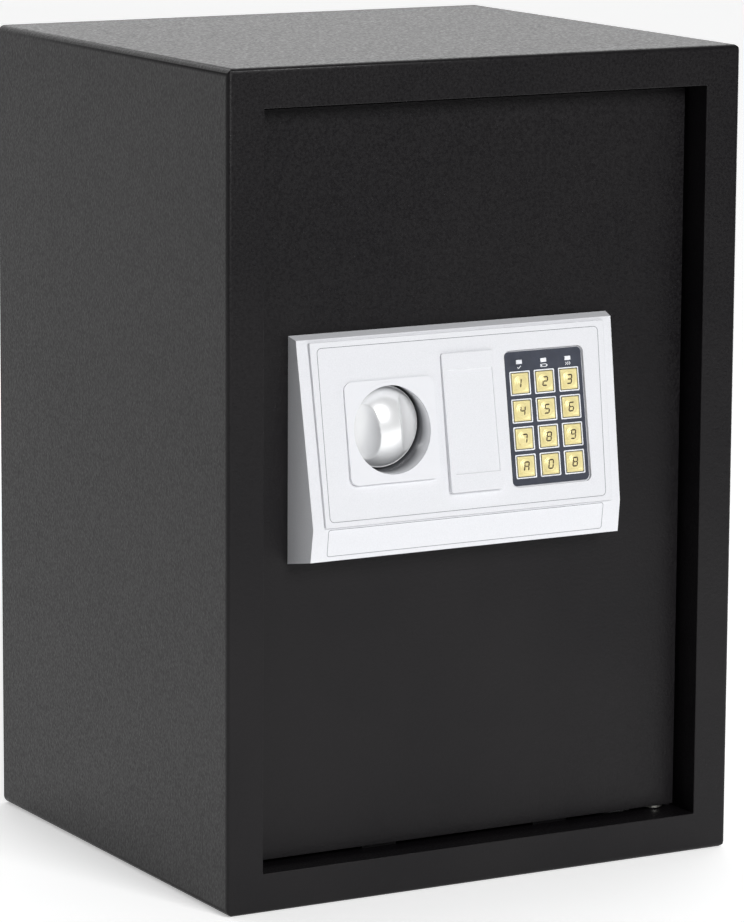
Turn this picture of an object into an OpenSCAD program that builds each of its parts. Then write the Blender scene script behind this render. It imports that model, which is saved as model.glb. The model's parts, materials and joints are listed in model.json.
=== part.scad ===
// Electronic security safe: a folded steel cabinet with a recessed door. The door carries a
// sloped control panel in front, and a bolt mechanism, solenoid lock and batteries behind.
// Millimetres. +Z is up, the front faces -Y, and the origin is the middle of the base.
// The door is drawn closed with its bolts withdrawn.

/* [Cabinet] */
// Outside width
body_w = 350; // [348:1:356]
// Outside depth
body_d = 310; // [308:1:340]
// Outside height
body_h = 500; // [496:1:520]
// Thickness of the sheet steel
wall = 2; // [1.5:0.5:2]
// Width of the front rim around the door
rim_w = 24; // [23:0.5:25]
// Depth of the folded return behind the front rim
jamb_depth = 26; // [25:0.5:26]
// Radius of the long outer corners
corner_r = 5; // [3:0.5:8]
// Radius of the bends around the front face
bend_r = 3; // [2:0.5:4]
// Radius of the anchor holes
anchor_r = 6; // [4:0.5:7]
// Distance between the two anchor holes of a pair
anchor_pitch = 200; // [160:5:220]
// Height of the anchor holes in the back panel
back_anchor_z = 380; // [350:5:420]
// Height of the shelf's top face
shelf_z = 252; // [240:1:260]
// Thickness of the felt floor mat
mat_t = 3; // [2:0.5:4]

/* [Door] */
// How far the door's face sits behind the rim
door_recess = 18; // [17:0.5:18]
// Thickness of the door plate
door_t = 4; // [3:0.5:4]
// Gap above the door and at its lock side
door_gap = 2.5; // [2:0.5:3]
// Gap below the door
door_gap_bottom = 3; // [3:0.5:4]
// Gap beside the hinges
hinge_gap = 4; // [4:0.5:5]
// Radius of the hinge pins
hinge_pin_r = 4; // [3:0.5:4]

/* [Control panel] */
// Left edge of the panel, from the middle of the door
panel_x0 = -125.7; // [-127:0.1:-124]
// Right edge of the panel, from the middle of the door
panel_x1 = 92.3; // [91:0.1:94]
// Height of the panel's upper edge
panel_top_z = 340.4; // [338:0.1:344]
// How far the face stands proud of the door at its upper edge
panel_proud = 7.5; // [7:0.1:9]
// Lean of the sloped face, in degrees
face_tilt = 9.2; // [8.5:0.1:10]
// Length of the sloped face
face_len = 111; // [110:0.5:112]
// Thickness of the plastic walls
shell_t = 2.5; // [2:0.1:2.6]
// Thickness of the raised face plate
face_plate_t = 2; // [2:0.1:2.2]

/* [Knob and bolts] */
// Knob centre, from the middle of the door
knob_x = -66.6; // [-68:0.1:-65]
// Height of the knob centre
knob_z = 283.2; // [282:0.1:285]
// Radius of the knob
knob_r = 24.7; // [23:0.1:25]
// Radius of the round cup in the panel
cup_r = 25.85; // [25.5:0.05:26.5]
// Radius of the knob spindle
spindle_r = 4; // [3.5:0.5:4]
// Distance from the spindle to the crank pin
crank_r = 13; // [12.5:0.1:13]
// Radius of a locking bolt
bolt_r = 8; // [6:0.5:8]
// Distance from the knob's height to each bolt
bolt_offset = 60; // [56:1:62]

/* [Keypad] */
// Middle of the keypad, from the middle of the door
keypad_x = 41.3; // [40:0.1:42]
// Distance between key columns
key_pitch_x = 17; // [16.8:0.1:17.2]
// Distance between key rows
key_pitch_s = 16.6; // [16.4:0.1:16.8]
// Width of a key cap
key_w = 11.6; // [10:0.1:11.8]
// Height of a key cap
key_h = 12; // [11:0.1:12.2]
// Travel of a key
key_travel = 0.6; // [0.4:0.1:0.6]

/* [Hidden] */
$fn = 64;
small_fn = 32;

// Cabinet planes
front_y = -body_d / 2;
back_y = body_d / 2;
side_x = body_w / 2 - wall;
open_x = body_w / 2 - rim_w;
open_z0 = rim_w;
open_z1 = body_h - rim_w;
jamb_back = front_y + jamb_depth;

// Door planes
door_front = front_y + door_recess;
door_back = door_front + door_t;
door_x0 = -open_x + door_gap;
door_x1 = open_x - hinge_gap;
door_z0 = open_z0 + door_gap_bottom;
door_z1 = open_z1 - door_gap;

// Hinge axis and clearances
hinge_x = open_x - 14;
hinge_y = jamb_back + 1;
run_fit = 0.05;
lug_h = 14;
bracket_rise = 1;
washer_h = 1.2;
pin_h = wall + bracket_rise + washer_h + lug_h + 2;

// Sloped face: distances run down the slope (s) and out of it (h)
face_y = door_front - panel_proud;
face_z = panel_top_z - 2;
panel_foot_z = panel_top_z - 135.7;
knee_y = face_y - face_len * sin(face_tilt);
knee_z = face_z - face_len * cos(face_tilt);
nose_y = knee_y + 2.6;
nose_z = knee_z - 19.9;
side_draft = 0.136;
plate_margin_left = 7.6;
plate_margin_right = 6.5;

// Recesses of the panel face
keypad_rows_s = [for (i = [0:3]) 35.8 + i * key_pitch_s];
keypad_cols_x = [for (i = [-1:1]) keypad_x + i * key_pitch_x];
lamp_s = 23.1;
pad_x0 = knob_x - 30.2;
pad_x1 = knob_x + 30.2;
pad_s0 = 26.8;
pad_s1 = 87.4;
pad_lean = 1.2;
cup_t = 2;
lock_x = -12.4;
cover_w = 35.6;
cover_s0 = 14.4;
cover_s1 = 97.2;
cover_lean = 1.1;
cover_h = 1.35;
window_s0 = 19.5;
window_s1 = 95;
window_w = 50;
bezel_w = 53.4;
bezel_s0 = 16.8;
bezel_s1 = 96.9;
bezel_t = 0.8;
bezel_gap = 0.8;
key_foot_h = -2.1;
board_h = -7.6;
board_t = 1.6;
board_boss_s = [16.6, 97.8];
board_boss_x = [keypad_x - 28.4, keypad_x + 28.4];
panel_screw_x = [-112, 78];
panel_screw_z = [220, 327];

// Knob
knob_dome_h = 12.7;
scoop_r = 17;
grip_lean = 7.5;

// Bolt mechanism
bolt_y = jamb_back + 10;
bolt_zs = [knob_z - bolt_offset, knob_z + bolt_offset];
bolt_tip_x = door_x0 + 1.5;
bolt_root_x = -112;
bolt_throw = 2 * crank_r * sin(45);
guide_x = -136;
guide_t = 3;
plate_y = -110;
plate_t = 2.5;
plate_top_z = 315;
crank_y = plate_y - 4;
crank_t = 3;
crank_arm_w = 10;
crank_pin_r = 3;
pin_x = knob_x + crank_r * cos(45);
pin_z = knob_z + crank_r * sin(45);
slot_clear = 0.6;
guide_posts = [[-92, knob_z - 34], [-40, knob_z - 34], [-92, knob_z + 24]];
post_r = 3;

// Solenoid
plunger_x = -52;
plunger_y = plate_y + plate_t / 2;
plunger_r = 3.5;
plunger_tip_z = plate_top_z + 0.5;
notch_w = 8.5;
notch_d = 7;
collar_z = 322.5;
coil_z0 = 330;
coil_z1 = 356;
yoke_t = 2;
spring_r = 5;
spring_wire_r = 0.5;
spring_turns = 3;

// Override lock
lock_z = 284;
lock_head_y = door_front - 12;
lock_body_r = 9;
lock_hole_w = 24;
lock_hole_s0 = 25;
lock_hole_s1 = 86;
plug_r = 6;
cam_y = -119;
cam_len = 24;

// Back cover, battery box and boards
cover_x0 = -141;
cover_x1 = 104;
cover_z0 = 186;
cover_z1 = 380;
cover_back = -91;
cover_t = 1.2;
ear = 10;
cover_screw_x = [cover_x0 - ear / 2 + 1, cover_x1 + ear / 2];
cover_screw_z = [cover_z0 + 20, cover_z1 - 20];
box_x0 = 20;
box_x1 = 84;
box_z0 = 292;
box_z1 = 362;
box_front = cover_back - 21;
box_t = 1.6;
cell_r = 7.25;
cell_len = 50.5;
cell_pitch = 16;
cell_y = cover_back - 11;
cell_x = (box_x0 + box_x1) / 2;
cell_zs = [for (i = [0:3]) (box_z0 + box_z1) / 2 + (i - 1.5) * cell_pitch];
reset_x = 92;
reset_z = 262;
board_y = door_back + 8;
board_x0 = 30;
board_x1 = 100;
board_z0 = 196;
board_z1 = 284;
ribbon_z = 265;
ribbon_x = 42;
ribbon_t = 1;
ribbon_s = (face_z - ribbon_z + board_h * sin(face_tilt)) / cos(face_tilt);
ribbon_front = face_y - ribbon_s * sin(face_tilt) - board_h * cos(face_tilt)
    + ribbon_t / 2 * tan(face_tilt) + run_fit;
reset_travel = 2;
reset_switch_y = board_y + 8;

// Key legends name the key nodes, top row first
key_names = ["key_1", "key_2", "key_3", "key_4", "key_5", "key_6",
             "key_7", "key_8", "key_9", "key_a", "key_0", "key_b"];

powder_black = "#2b272a";
silver_plastic = "#d7d8db";
satin_steel = "#b9bcc0";
zinc = "#a9a9a4";
gold = "#e3c766";
panel_blue = "#3e424e";
board_green = "#2f6b45";

// ---- Shape helpers ----

// A block between two corners
module block(x0, x1, y0, y1, z0, z1) {
    translate([x0, y0, z0]) cube([x1 - x0, y1 - y0, z1 - z0]);
}

// Round bars along each axis, from one end to the other
module bar_x(y, z, r, x0, x1) {
    translate([x0, y, z]) rotate([0, 90, 0]) cylinder(r = r, h = x1 - x0);
}

module bar_y(x, z, r, y0, y1) {
    translate([x, y0, z]) rotate([-90, 0, 0]) cylinder(r = r, h = y1 - y0);
}

module bar_z(x, y, r, z0, z1) {
    translate([x, y, z0]) cylinder(r = r, h = z1 - z0);
}

// A rectangle with four round corners, centred
module rounded_rect(w, h, r) {
    square([w - 2 * r, h], center = true);
    square([w, h - 2 * r], center = true);
    for (x = [-1, 1], y = [-1, 1])
        translate([x * (w / 2 - r), y * (h / 2 - r)]) circle(r);
}

// A rectangle centred on x whose two corners at y = 0 are round
module round_fronted_rect(w, d, r) {
    translate([-w / 2, r]) square([w, d - r]);
    translate([r - w / 2, 0]) square([w - 2 * r, d]);
    for (x = [-1, 1])
        translate([x * (w / 2 - r), r]) circle(r);
}

// Turns a shape drawn in the sloped face's own axes: x across, y up the slope, z out of it
module on_face() {
    translate([0, face_y, face_z]) rotate([90 - face_tilt, 0, 0]) children();
}

// A block on the sloped face, from s0 to s1 down the slope and h0 to h1 out of it
module face_block(x0, x1, s0, s1, h0, h1) {
    on_face() block(x0, x1, -s1, -s0, h0, h1);
}

// The same with round corners
module face_pad(x0, x1, s0, s1, h0, h1, r) {
    on_face() translate([(x0 + x1) / 2, -(s0 + s1) / 2, h0])
        linear_extrude(h1 - h0) rounded_rect(x1 - x0, s1 - s0, r);
}

// A round-cornered pad on the face plate whose top leans out by a further angle
module raised_pad(x0, x1, s0, s1, lean, top_h, r) {
    sink = 2.2;
    on_face() translate([0, 0, face_plate_t]) rotate([-lean, 0, 0])
        translate([(x0 + x1) / 2, -(s0 + s1) / 2, -sink])
        linear_extrude(top_h + sink) rounded_rect(x1 - x0, s1 - s0, r);
}

// ---- Cabinet ----

// The cabinet's outer form: round long corners, and bends around the front face
module cabinet_form() {
    intersection() {
        translate([0, back_y, body_h / 2]) rotate([90, 0, 0])
            linear_extrude(body_d) rounded_rect(body_w, body_h, corner_r);
        translate([0, front_y, 0])
            linear_extrude(body_h) round_fronted_rect(body_w, body_d, bend_r);
        translate([-body_w / 2, front_y, body_h / 2]) rotate([0, 90, 0])
            linear_extrude(body_w) round_fronted_rect(body_h, body_d, bend_r);
    }
}

// The space inside the walls, from one depth to another
module cabinet_core(y0, y1) {
    translate([0, y1, body_h / 2]) rotate([90, 0, 0]) linear_extrude(y1 - y0)
        rounded_rect(body_w - 2 * wall, body_h - 2 * wall, corner_r - wall);
}

module base_anchors(r, z0, z1) {
    for (x = [-1, 1]) bar_z(x * anchor_pitch / 2, 0, r, z0, z1);
}

module body_shell() {
    color(powder_black) {
        difference() {
            cabinet_form();
            cabinet_core(front_y + wall, back_y + 1);
            block(-open_x, open_x, front_y - 1, front_y + wall + 1, open_z0, open_z1);
            base_anchors(anchor_r, -1, wall + 1);
        }
        difference() {
            block(-open_x - wall, open_x + wall, front_y + wall / 2, jamb_back,
                  open_z0 - wall, open_z1 + wall);
            block(-open_x, open_x, front_y - 1, jamb_back + 1, open_z0, open_z1);
            bar_z(hinge_x, hinge_y, hinge_pin_r, open_z0 - wall - 1, open_z1 + wall + 1);
        }
    }
}

module back_panel() {
    color(powder_black) difference() {
        cabinet_core(back_y - wall, back_y);
        for (x = [-1, 1])
            bar_y(x * anchor_pitch / 2, back_anchor_z, anchor_r, back_y - wall - 1, back_y + 1);
    }
}

// Strip behind the lock-side return, with a square window for each bolt
module bolt_keeper() {
    window = bolt_r + 2.5;
    color(powder_black) difference() {
        block(-open_x - wall - 3, -open_x - wall, front_y + wall, jamb_back + 28,
              knob_z - 93, knob_z + 93);
        for (z = bolt_zs)
            block(-open_x - wall - 4, -open_x - wall + 1, bolt_y - window, bolt_y + window,
                  z - window, z + window);
    }
}

// Tabs that the closed door rests against
module door_stops() {
    tab = 24;
    gap = 0.3;
    y0 = door_back + gap;
    y1 = jamb_back;
    color(powder_black) {
        for (z = [100, 400])
            block(-open_x, -open_x + 12, y0, y1, z - tab / 2, z + tab / 2);
        for (x = [-60, 60]) {
            block(x - tab / 2, x + tab / 2, y0, y1, open_z1 - 12, open_z1);
            block(x - tab / 2, x + tab / 2, y0, y1, open_z0, open_z0 + 12);
        }
    }
}

// One plate above the door and one below it, behind the returns
module hinge_brackets() {
    t = wall + bracket_rise;
    color(powder_black) for (z = [open_z0 - wall, open_z1 - bracket_rise]) difference() {
        block(hinge_x - 12, open_x - 1, jamb_back, jamb_back + 18, z, z + t);
        bar_z(hinge_x, hinge_y, hinge_pin_r, z - 1, z + t + 1);
    }
}

module hinge_pins() {
    color(satin_steel) for (z = [open_z0 - wall, open_z1 + wall - pin_h])
        bar_z(hinge_x, hinge_y, hinge_pin_r, z, z + pin_h);
}

// Thrust washer that carries the door's weight, and its twin above
module hinge_washers() {
    color(zinc) for (z = [open_z0 + bracket_rise, open_z1 - bracket_rise - washer_h])
        difference() {
            bar_z(hinge_x, hinge_y, 7, z, z + washer_h);
            bar_z(hinge_x, hinge_y, hinge_pin_r, z - 1, z + washer_h + 1);
        }
}

// Removable sheet-metal shelf with a turned-down lip at the front and back
module shelf() {
    x = side_x - 2;
    y0 = front_y + 97;
    y1 = back_y - wall - 3;
    sheet = 1.5;
    lip = 12;
    color(powder_black) {
        block(-x, x, y0, y1, shelf_z - sheet, shelf_z);
        block(-x, x, y0, y0 + sheet, shelf_z - lip, shelf_z);
        block(-x, x, y1 - sheet, y1, shelf_z - lip, shelf_z);
    }
}

// Four angle brackets welded to the side walls
module shelf_brackets() {
    top = shelf_z - 1.5;
    color(powder_black) for (side = [-1, 1], y = [front_y + 130, back_y - 35]) {
        outer = side * side_x;
        inner = side * (side_x - 13);
        block(min(outer, inner), max(outer, inner), y - 10, y + 10, top - 2, top);
        leg = side * (side_x - 2);
        block(min(outer, leg), max(outer, leg), y - 10, y + 10, top - 25, top);
    }
}

module floor_mat() {
    x = side_x - corner_r + wall - 0.5;
    color("#4b4a4d") difference() {
        block(-x, x, jamb_back + 25, back_y - wall - 2, wall, wall + mat_t);
        base_anchors(anchor_r + 5, 0, wall + mat_t + 1);
    }
}

// ---- Door ----

module door_plate() {
    color(powder_black) difference() {
        block(door_x0, door_x1, door_front, door_back, door_z0, door_z1);
        bar_y(knob_x, knob_z, 8, door_front - 1, door_back + 1);
        bar_y(lock_x, lock_z, lock_body_r, door_front - 1, door_back + 1);
        for (x = panel_screw_x, z = panel_screw_z)
            bar_y(x, z, 2.3, door_front - 1, door_back + 1);
        block(ribbon_x - 11, ribbon_x + 11, door_front - 1, door_back + 1,
              ribbon_z - 4, ribbon_z + 4);
        for (x = cover_screw_x, z = cover_screw_z)
            bar_y(x, z, 2.1, door_front + 1, door_back + 1);
    }
}

// A bored block at each end of the door, around its hinge pin
module hinge_lugs() {
    lift = bracket_rise + washer_h + run_fit;
    color(powder_black) for (z0 = [open_z0 + lift, open_z1 - lift - lug_h]) difference() {
        block(hinge_x - 8, hinge_x + 8, door_back, hinge_y + 7, z0, z0 + lug_h);
        bar_z(hinge_x, hinge_y, hinge_pin_r + run_fit, z0 - 1, z0 + lug_h + 1);
    }
}

// Angle bracket on the door that guides both bolts
module bolt_guide() {
    z0 = knob_z - bolt_offset - 20;
    z1 = knob_z + bolt_offset + 20;
    color(zinc) difference() {
        union() {
            block(guide_x, guide_x + guide_t, door_back, bolt_y + 14, z0, z1);
            block(guide_x, guide_x + 18, door_back, door_back + guide_t, z0, z1);
        }
        for (z = bolt_zs)
            bar_x(bolt_y, z, bolt_r + 2 * run_fit, guide_x - 1, guide_x + guide_t + 1);
        for (x = [panel_screw_x[0]], z = panel_screw_z)
            bar_y(x, z, 5, door_back - 1, door_back + 5);
    }
}

// Shoulder screws on the door that the carriage slides on
module guide_screws() {
    color(satin_steel) for (p = guide_posts) {
        bar_y(p[0], p[1], 5, door_back, plate_y - 0.3);
        bar_y(p[0], p[1], post_r, plate_y - 1, plate_y + plate_t + 0.3);
        bar_y(p[0], p[1], 5.5, plate_y + plate_t + 0.3, plate_y + plate_t + 3);
    }
}

// Flanged bush in the door that the knob's spindle runs in
module spindle_bush() {
    color("#c9b37a") difference() {
        union() {
            bar_y(knob_x, knob_z, 11, door_front - 2, door_front);
            bar_y(knob_x, knob_z, 8, door_front - 1, door_back);
            bar_y(knob_x, knob_z, 10, door_back, door_back + 4);
        }
        bar_y(knob_x, knob_z, spindle_r + run_fit, door_front - 3, door_back + 5);
    }
}

// ---- Control panel ----

// How far the side walls have leaned in at a distance down the face
function side_lean(s) = side_draft * (panel_proud + s * sin(face_tilt));

// The panel's side outline, drawn inside the outer skin by t
module panel_profile(t) {
    polygon([
        [door_front + (t > 0 ? 1 : 0), panel_top_z - t],
        [face_y + 1.1 * t, face_z - 0.8 * t],
        [knee_y + 1.1 * t, knee_z],
        [nose_y + 1.1 * t, nose_z + 0.9 * t],
        [door_front + (t > 0 ? 1 : 0), panel_foot_z + t],
    ]);
}

// The panel's plan: both side walls lean in towards the front
module panel_plan(t) {
    depth = door_front - knee_y + 5;
    lean_in = side_draft * depth;
    polygon([
        [panel_x0 + t, door_front + 1],
        [panel_x1 - t, door_front + 1],
        [panel_x1 - t, door_front],
        [panel_x1 - t - lean_in, door_front - depth],
        [panel_x0 + t + lean_in, door_front - depth],
        [panel_x0 + t, door_front],
    ]);
}

module panel_form(t) {
    intersection() {
        translate([panel_x0 - 1, 0, 0]) rotate([90, 0, 90])
            linear_extrude(panel_x1 - panel_x0 + 2) panel_profile(t);
        linear_extrude(body_h) panel_plan(t);
    }
}

// Openings through the panel's face for the cup and the override lock
module face_openings() {
    bar_y(knob_x, knob_z, cup_r + cup_t + 0.1, face_y - 40, door_front - 2);
    face_block(lock_x - lock_hole_w / 2, lock_x + lock_hole_w / 2,
               lock_hole_s0, lock_hole_s1, -12, 10);
}

module panel_housing() {
    color(silver_plastic) difference() {
        union() {
            difference() {
                panel_form(0);
                panel_form(shell_t);
                face_openings();
                face_block(keypad_x - window_w / 2, keypad_x + window_w / 2,
                           window_s0, window_s1, -12, 10);
            }
            for (x = panel_screw_x) {
                bar_y(x, panel_screw_z[0], 4, nose_y + 1, door_front);
                bar_y(x, panel_screw_z[1], 4, face_y - 1, door_front);
            }
            for (x = board_boss_x, s = board_boss_s)
                on_face() bar_z(x, -s, 2.2, board_h + board_t, -shell_t / 2);
        }
        for (x = panel_screw_x, z = panel_screw_z)
            bar_y(x, z, 2.05, door_front - 7, door_front + 1);
    }
}

// Raised plate on the sloped face, with the recess that the keypad lies in
module face_plate() {
    half_w = bezel_w / 2 + bezel_gap;
    s0 = 2;
    s1 = face_len - 0.3;
    left = panel_x0 + plate_margin_left;
    right = panel_x1 - plate_margin_right;
    color(silver_plastic) difference() {
        on_face() linear_extrude(face_plate_t) polygon([
            [left + side_lean(s0), -s0],
            [left + side_lean(s1), -s1],
            [right - side_lean(s1), -s1],
            [right - side_lean(s0), -s0],
        ]);
        face_openings();
        face_pad(keypad_x - half_w, keypad_x + half_w, bezel_s0 - bezel_gap,
                 bezel_s1 + bezel_gap, -1, face_plate_t + 1, 3 + bezel_gap);
    }
}

// Square pad with the round cup that the knob sits in
module knob_escutcheon() {
    color(silver_plastic) difference() {
        union() {
            raised_pad(pad_x0, pad_x1, pad_s0, pad_s1, pad_lean, 0.45, 5);
            intersection() {
                bar_y(knob_x, knob_z, cup_r + cup_t, face_y - 30, door_front - 2.5);
                face_block(pad_x0, pad_x1, pad_s0 - 10, pad_s1 + 10, -30, face_plate_t + 1.2);
            }
        }
        bar_y(knob_x, knob_z, cup_r, face_y - 40, door_front);
        difference() {
            face_block(pad_x0 - 5, pad_x1 + 5, pad_s0 - 5, pad_s1 + 5, -3, face_plate_t);
            bar_y(knob_x, knob_z, cup_r + cup_t, face_y - 40, door_front);
        }
    }
}

// Flat keypad front with a window for each key and each indicator
module keypad_bezel() {
    fit = 0.2;
    color(panel_blue) difference() {
        face_pad(keypad_x - bezel_w / 2, keypad_x + bezel_w / 2, bezel_s0, bezel_s1,
                 0, bezel_t, 3);
        for (x = keypad_cols_x) {
            for (s = keypad_rows_s)
                face_block(x - key_w / 2 - fit, x + key_w / 2 + fit,
                           s - key_h / 2 - fit, s + key_h / 2 + fit, -1, bezel_t + 1);
            face_block(x - 2.1, x + 2.1, lamp_s - 1.3, lamp_s + 1.3, -1, bezel_t + 1);
        }
    }
}

// Indicator lenses, each with a flange behind the bezel
module led_lenses() {
    color("white") for (x = keypad_cols_x) {
        face_block(x - 2, x + 2, lamp_s - 1.2, lamp_s + 1.2, -0.6, bezel_t + 0.3);
        face_block(x - 3.4, x + 3.4, lamp_s - 2.4, lamp_s + 2.4, -1, 0);
    }
}

module keypad_board() {
    color(board_green) difference() {
        face_block(keypad_x - 31.5, keypad_x + 31.5, 14, 100.5, board_h, board_h + board_t);
        for (x = board_boss_x, s = board_boss_s)
            on_face() bar_z(x, -s, 1.2, board_h - 1, board_h + board_t + 1);
    }
}

// Twelve tactile switches, and the three indicator lamps above them
module key_switches() {
    board_top = board_h + board_t;
    button_top = key_foot_h - key_travel - 0.1;
    color("#26262a") for (x = keypad_cols_x) {
        for (s = keypad_rows_s) {
            face_block(x - 3, x + 3, s - 3, s + 3, board_top, button_top - 0.4);
            on_face() bar_z(x, -s, 1.6, button_top - 0.4, button_top);
        }
        on_face() bar_z(x, -lamp_s, 1.5, board_top, -1.4);
    }
}

// One key: cap, retaining flange under the bezel, and stem over its switch
module key(i) {
    x = keypad_cols_x[i % 3];
    s = keypad_rows_s[floor(i / 3)];
    half_w = key_w / 2;
    half_h = key_h / 2;
    flange = 1.2;
    crown = 0.5;
    color(gold) {
        face_block(x - half_w, x + half_w, s - half_h, s + half_h, -0.5, 1.1);
        face_block(x - half_w + crown, x + half_w - crown,
                   s - half_h + crown, s + half_h - crown, 1, 1.5);
        on_face() bar_z(x, -s, half_w - 1, 1.4, 1.8);
        face_block(x - half_w - flange, x + half_w + flange,
                   s - half_h - flange, s + half_h + flange, -0.9, -0.1);
        on_face() bar_z(x, -s, 1.5, key_foot_h, -0.8);
    }
}

// Screws from behind the door into the panel's bosses
module panel_screws() {
    color(zinc) for (x = panel_screw_x, z = panel_screw_z) {
        bar_y(x, z, 2, door_front - 6, door_back + 1);
        bar_y(x, z, 3.8, door_back, door_back + 2.6);
    }
}

// A lead of straight runs with round elbows, through a list of points
module lead(points, r) {
    for (i = [0:len(points) - 2]) {
        a = points[i];
        b = points[i + 1];
        low = [min(a[0], b[0]), min(a[1], b[1]), min(a[2], b[2])];
        high = [max(a[0], b[0]), max(a[1], b[1]), max(a[2], b[2])];
        if (a[0] != b[0]) bar_x(a[1], a[2], r, low[0], high[0], $fn = small_fn);
        if (a[1] != b[1]) bar_y(a[0], a[2], r, low[1], high[1], $fn = small_fn);
        if (a[2] != b[2]) bar_z(a[0], a[1], r, low[2], high[2], $fn = small_fn);
        if (i > 0) translate(a) sphere(r, $fn = small_fn);
    }
}

// Ribbon from the keypad to the control board, battery lead and solenoid lead
module wiring() {
    wire_r = 0.9;
    battery_lead_x = 36;
    battery_lead_y = board_y + 6;
    battery_lead_z = box_z0 + 6;
    drop_x = 4;
    coil_z = (coil_z0 + coil_z1) / 2;
    color("#8d8f96")
        block(ribbon_x - 8, ribbon_x + 8, ribbon_front, board_y - 4,
              ribbon_z - ribbon_t / 2, ribbon_z + ribbon_t / 2);
    color("#a02c2c") for (x = [battery_lead_x, battery_lead_x + 4])
        lead([[x, box_front, battery_lead_z],
              [x, battery_lead_y, battery_lead_z],
              [x, battery_lead_y, board_z1 - 6],
              [x, board_y + board_t, board_z1 - 6]], wire_r);
    color("#d0b030") for (i = [0:1]) {
        y = door_back + 4 + 3 * i;
        z = board_z0 + 34 + 4 * i;
        lead([[plunger_x + 14, y, coil_z], [drop_x, y, coil_z], [drop_x, y, z], [board_x0, y, z]],
             wire_r);
    }
}

// Circuit board behind the door: ribbon socket in front, and behind it the main chip, buzzer,
// two capacitors and the reset switch
module control_board() {
    top = board_y + board_t;
    color(board_green) union() {
        block(board_x0, board_x1, board_y, top, board_z0, board_z1);
        block(ribbon_x - 10, ribbon_x + 10, board_y - 4, board_y, ribbon_z - 5, ribbon_z + 5);
        block(board_x0 + 18, board_x0 + 36, top, top + 2.4, board_z0 + 26, board_z0 + 44);
        bar_y(board_x1 - 18, board_z0 + 16, 6, top, top + 8.4);
        for (x = [board_x0 + 16, board_x0 + 24])
            bar_y(x, board_z0 + 10, 3, top, top + 7.4);
        block(reset_x - 3, reset_x + 3, top, reset_switch_y, reset_z - 3, reset_z + 3);
        for (x = [board_x0 + 5, board_x1 - 5], z = [board_z0 + 5, board_z1 - 5])
            bar_y(x, z, 3, door_back, board_y);
    }
}

// ---- Solenoid ----

module solenoid_frame() {
    w = 12;
    color(zinc) difference() {
        block(plunger_x - w, plunger_x + w, door_back, plunger_y + 11, coil_z0 - yoke_t,
              coil_z1 + yoke_t);
        block(plunger_x - w - 1, plunger_x + w + 1, plunger_y - 11, plunger_y + 12,
              coil_z0, coil_z1);
        block(plunger_x - w + yoke_t, plunger_x + w - yoke_t, door_back - 1, plunger_y - 13,
              coil_z0 - 5, coil_z1 + 5);
        bar_z(plunger_x, plunger_y, plunger_r + 0.3, coil_z0 - 5, coil_z1 + 5);
    }
}

module solenoid_coil() {
    color("#b5652c") difference() {
        bar_z(plunger_x, plunger_y, 10, coil_z0, coil_z1);
        bar_z(plunger_x, plunger_y, plunger_r + 0.3, coil_z0 - 1, coil_z1 + 1);
    }
}

// Points of a round wire wound around +Z: one ring for each step of the turn
function spring_ring(turn, z) = [for (k = [0:7]) let (a = 360 * turn, b = 45 * k)
    [(spring_r + spring_wire_r * cos(b)) * cos(a),
     (spring_r + spring_wire_r * cos(b)) * sin(a),
     z + spring_wire_r * sin(b)]];

module solenoid_spring() {
    z0 = collar_z + 1;
    z1 = coil_z0 - yoke_t;
    steps = 16 * spring_turns;
    rise = z1 - z0 - 2 * spring_wire_r - 0.1;
    points = [for (i = [0:steps])
        each spring_ring(i / 16, z0 + 0.05 + spring_wire_r + rise * i / steps)];
    sides = [for (i = [0:steps - 1], k = [0:7])
        [8 * i + k, 8 * i + 8 + k, 8 * i + 8 + (k + 1) % 8, 8 * i + (k + 1) % 8]];
    start = [[for (k = [0:7]) k]];
    finish = [[for (k = [7:-1:0]) 8 * steps + k]];
    color(satin_steel) translate([plunger_x, plunger_y, 0])
        polyhedron(points, concat(start, finish, sides));
}

// Iron plunger with the collar that its spring pushes on
module solenoid_plunger() {
    color(satin_steel) {
        bar_z(plunger_x, plunger_y, plunger_r, plunger_tip_z, coil_z1 - 8);
        bar_z(plunger_x, plunger_y, 6, collar_z, collar_z + 1);
    }
}

// ---- Override lock ----

module override_lock_body() {
    color(satin_steel) difference() {
        union() {
            bar_y(lock_x, lock_z, 10.5, lock_head_y, lock_head_y + 2);
            bar_y(lock_x, lock_z, lock_body_r, lock_head_y + 1, cam_y - 1);
        }
        bar_y(lock_x, lock_z, plug_r + run_fit, lock_head_y - 1, cam_y);
    }
}

module lock_nut() {
    color(zinc) difference() {
        translate([lock_x, door_back, lock_z]) rotate([-90, 0, 0]) cylinder(r = 13.5, h = 4, $fn = 6);
        bar_y(lock_x, lock_z, lock_body_r, door_back - 1, door_back + 5);
    }
}

// Turning plug with a tubular keyway in its front end
module lock_barrel() {
    color(satin_steel) difference() {
        bar_y(lock_x, lock_z, plug_r, lock_head_y - 0.5, cam_y);
        difference() {
            bar_y(lock_x, lock_z, 4.2, lock_head_y - 1, lock_head_y + 5);
            bar_y(lock_x, lock_z, 2.8, lock_head_y - 1, lock_head_y + 6);
        }
        block(lock_x - 0.8, lock_x + 0.8, lock_head_y - 1, lock_head_y + 4, lock_z + 2,
              lock_z + 5.2);
    }
}

// Cam on the plug's inner end, hanging down at rest, and its screw
module lock_cam() {
    color(zinc) {
        bar_y(lock_x, lock_z, 7, cam_y, cam_y + 2);
        block(lock_x - 4, lock_x + 4, cam_y, cam_y + 2, lock_z - cam_len + 4, lock_z);
        bar_y(lock_x, lock_z - cam_len + 4, 4, cam_y, cam_y + 2);
        bar_y(lock_x, lock_z, 3.5, cam_y + 2, cam_y + 4.5);
    }
}

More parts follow.
